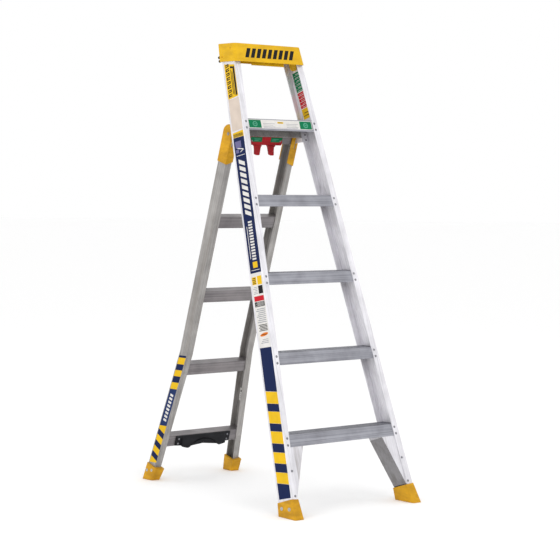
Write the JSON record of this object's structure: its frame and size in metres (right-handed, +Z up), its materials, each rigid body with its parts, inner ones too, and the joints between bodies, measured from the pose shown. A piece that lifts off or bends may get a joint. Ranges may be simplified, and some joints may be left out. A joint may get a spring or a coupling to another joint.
{
  "type": "folding step ladder",
  "caption": "Aluminium A-frame step ladder with treads, a moulded top cap and a swinging rear section that locks open, folds flat or opens out straight.",
  "frame": {"origin": "centre of the footprint's bounding box on the floor", "axes": "+Z up, -Y towards the climber, +X to the right seen from the climbing side"},
  "size_m": [0.6498, 1.1088, 1.801],
  "materials": {
    "front_aluminium": "bright mill finish",
    "rear_aluminium": "dull mill finish",
    "tread_aluminium": "ribbed, lightly brushed",
    "rivet_aluminium": "drawn",
    "yellow_plastic": "moulded, satin",
    "red_plastic": "moulded, satin",
    "black_plastic": "moulded, fine texture",
    "bumper_rubber": "soft, matt",
    "nylon": "plain",
    "zinc_steel": "zinc plated"
  },
  "bodies": {
    "front_section": {"front_stile_left": "front_aluminium", "front_stile_right": "front_aluminium", "step_1": "tread_aluminium", "step_2": "tread_aluminium", "step_3": "tread_aluminium", "step_4": "tread_aluminium", "step_5": "tread_aluminium", "step_rivets": "rivet_aluminium", "back_rail": "front_aluminium", "back_rail_rivets": "rivet_aluminium", "knee_brace_left": "front_aluminium", "knee_brace_right": "front_aluminium", "brace_rivets": "rivet_aluminium", "front_foot_left": "yellow_plastic", "front_foot_right": "yellow_plastic", "front_foot_rivets": "rivet_aluminium", "top_cap": "yellow_plastic", "cap_screws": "zinc_steel", "cap_bumpers": "bumper_rubber", "hinge_plate_left": "zinc_steel", "hinge_plate_right": "zinc_steel", "hinge_plate_rivets": "rivet_aluminium"},
    "rear_section": {"rear_stile_left": "rear_aluminium", "rear_stile_right": "rear_aluminium", "rung_1": "rear_aluminium", "rung_2": "rear_aluminium", "rung_3": "rear_aluminium", "rung_4": "rear_aluminium", "rung_rivets": "rivet_aluminium", "lock_bar": "rear_aluminium", "lock_bar_rivets": "rivet_aluminium", "rod_guides": "nylon", "lever_pins": "zinc_steel", "lock_housing": "red_plastic", "housing_screws": "zinc_steel", "hinge_cover_left": "yellow_plastic", "hinge_cover_right": "yellow_plastic", "hinge_pins": "zinc_steel", "hinge_washers": "nylon", "rear_foot_left": "yellow_plastic", "rear_foot_right": "yellow_plastic", "rear_foot_rivets": "rivet_aluminium", "pole_rest": "black_plastic", "pole_rest_screws": "zinc_steel"},
    "squeeze_left": {"lever_left": "red_plastic"},
    "squeeze_right": {"lever_right": "red_plastic"},
    "rod_left": {"lock_rod_left": "zinc_steel"},
    "rod_right": {"lock_rod_right": "zinc_steel"}
  },
  "joints": [
    {"name": "rear_swing", "type": "hinge", "parent": "front_section", "child": "rear_section", "pos_m": [0, 0.05946, 1.44135], "axis": [1, 0, 0], "range_deg": [-35.5, 142.5]},
    {"name": "lever_left_turn", "type": "hinge", "parent": "rear_section", "child": "squeeze_left", "pos_m": [-0.035, 0.04499, 1.42735], "axis": [0, -0.9537, -0.3007], "range_deg": [0, 15], "stiffness_Nm_per_rad": 3},
    {"name": "lever_right_turn", "type": "hinge", "parent": "rear_section", "child": "squeeze_right", "pos_m": [0.035, 0.04499, 1.42735], "axis": [0, 0.9537, 0.3007], "range_deg": [0, 15], "stiffness_Nm_per_rad": 3},
    {"name": "rod_left_slide", "type": "slide", "parent": "rear_section", "child": "rod_left", "axis": [1, 0, 0], "range_m": [0, 0.005]},
    {"name": "rod_right_slide", "type": "slide", "parent": "rear_section", "child": "rod_right", "axis": [-1, 0, 0], "range_m": [0, 0.005]}
  ],
  "couplings": [
    {"joint": "rod_left_slide", "follows": "lever_left_turn", "m_per_rad": 0.014},
    {"joint": "rod_right_slide", "follows": "lever_right_turn", "m_per_rad": 0.014}
  ]
}
